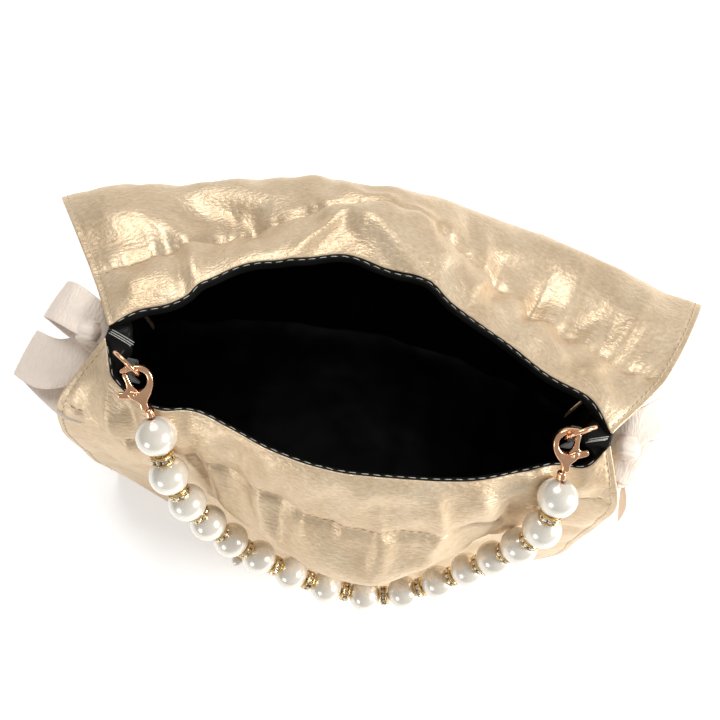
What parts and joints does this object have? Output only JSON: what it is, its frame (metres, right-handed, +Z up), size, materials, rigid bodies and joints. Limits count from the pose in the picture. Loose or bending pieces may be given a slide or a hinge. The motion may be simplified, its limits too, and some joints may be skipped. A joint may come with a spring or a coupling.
{
  "type": "evening bag",
  "caption": "Soft satin evening bag with an open black-lined mouth, gathered drawstring casing, side ribbon bows and a pearl strand handle clasped to rings at the mouth corners.",
  "frame": {"origin": "middle of the flat underside that the bag stands on", "axes": "+X along the bag's width to its right, +Y to the back panel, +Z up; the strand handle lies over the front, -Y, side"},
  "size_m": [0.277, 0.173, 0.1633],
  "materials": {
    "satin": "champagne crepe-back satin, soft sheen",
    "lining": "glossy black lining satin",
    "ribbon": "pale pink-beige satin ribbon",
    "board": "grey-brown bag board, matt",
    "tape": "black woven tape",
    "gold": "polished rose-gold plating",
    "pearl": "ivory pearl lustre",
    "rhinestone": "gold cup set with clear stones",
    "wire": "coated steel beading cable"
  },
  "bodies": {
    "bag": {"front_panel": "satin", "back_panel": "satin", "front_lining": "lining", "back_lining": "lining", "front_ribbon": "ribbon", "back_ribbon": "ribbon", "left_gusset": "satin", "right_gusset": "satin", "left_gusset_lining": "lining", "right_gusset_lining": "lining", "base_panel": "satin", "base_board": "board", "base_lining": "lining", "left_tab": "tape", "right_tab": "tape"},
    "handle": {"left_ring": "gold", "left_clasp_hook": "gold", "left_clasp_pin": "gold", "left_crimp": "gold", "right_ring": "gold", "right_clasp_hook": "gold", "right_clasp_pin": "gold", "right_crimp": "gold", "strand_wire": "wire", "pearl_1": "pearl", "pearl_2": "pearl", "pearl_3": "pearl", "pearl_4": "pearl", "pearl_5": "pearl", "pearl_6": "pearl", "pearl_7": "pearl", "pearl_8": "pearl", "pearl_9": "pearl", "pearl_10": "pearl", "pearl_11": "pearl", "pearl_12": "pearl", "pearl_13": "pearl", "pearl_14": "pearl", "pearl_15": "pearl", "pearl_16": "pearl", "rondelle_1": "rhinestone", "rondelle_2": "rhinestone", "rondelle_3": "rhinestone", "rondelle_4": "rhinestone", "rondelle_5": "rhinestone", "rondelle_6": "rhinestone", "rondelle_7": "rhinestone", "rondelle_8": "rhinestone", "rondelle_9": "rhinestone", "rondelle_10": "rhinestone", "rondelle_11": "rhinestone", "rondelle_12": "rhinestone", "rondelle_13": "rhinestone", "rondelle_14": "rhinestone", "rondelle_15": "rhinestone"},
    "left_gate": {"left_clasp_gate": "gold"},
    "right_gate": {"right_clasp_gate": "gold"},
    "left_bow": {"left_bow": "ribbon"},
    "right_bow": {"right_bow": "ribbon"}
  },
  "joints": [
    {"name": "handle_swing", "type": "hinge", "parent": "bag", "child": "handle", "pos_m": [-0.0765, -0.011, 0.152], "axis": [-0.9981, -0.0624, 0], "range_deg": [0, 155]},
    {"name": "left_gate_turn", "type": "hinge", "parent": "handle", "child": "left_gate", "pos_m": [-0.07209, -0.01956, 0.15385], "axis": [-0.2343, 0.4947, -0.8369], "range_deg": [0, 22], "stiffness_Nm_per_rad": 0.004, "springref_deg": -11.46},
    {"name": "right_gate_turn", "type": "hinge", "parent": "handle", "child": "right_gate", "pos_m": [0.07471, -0.00868, 0.15385], "axis": [0.1217, -0.5336, 0.8369], "range_deg": [0, 22], "stiffness_Nm_per_rad": 0.004, "springref_deg": -11.46},
    {"name": "left_bow_swing", "type": "hinge", "parent": "bag", "child": "left_bow", "pos_m": [-0.0945, 0.001, 0.137], "axis": [0, 1, 0], "range_deg": [0, 25]},
    {"name": "right_bow_swing", "type": "hinge", "parent": "bag", "child": "right_bow", "pos_m": [0.0945, 0.001, 0.137], "axis": [0, -1, 0], "range_deg": [0, 20]}
  ]
}
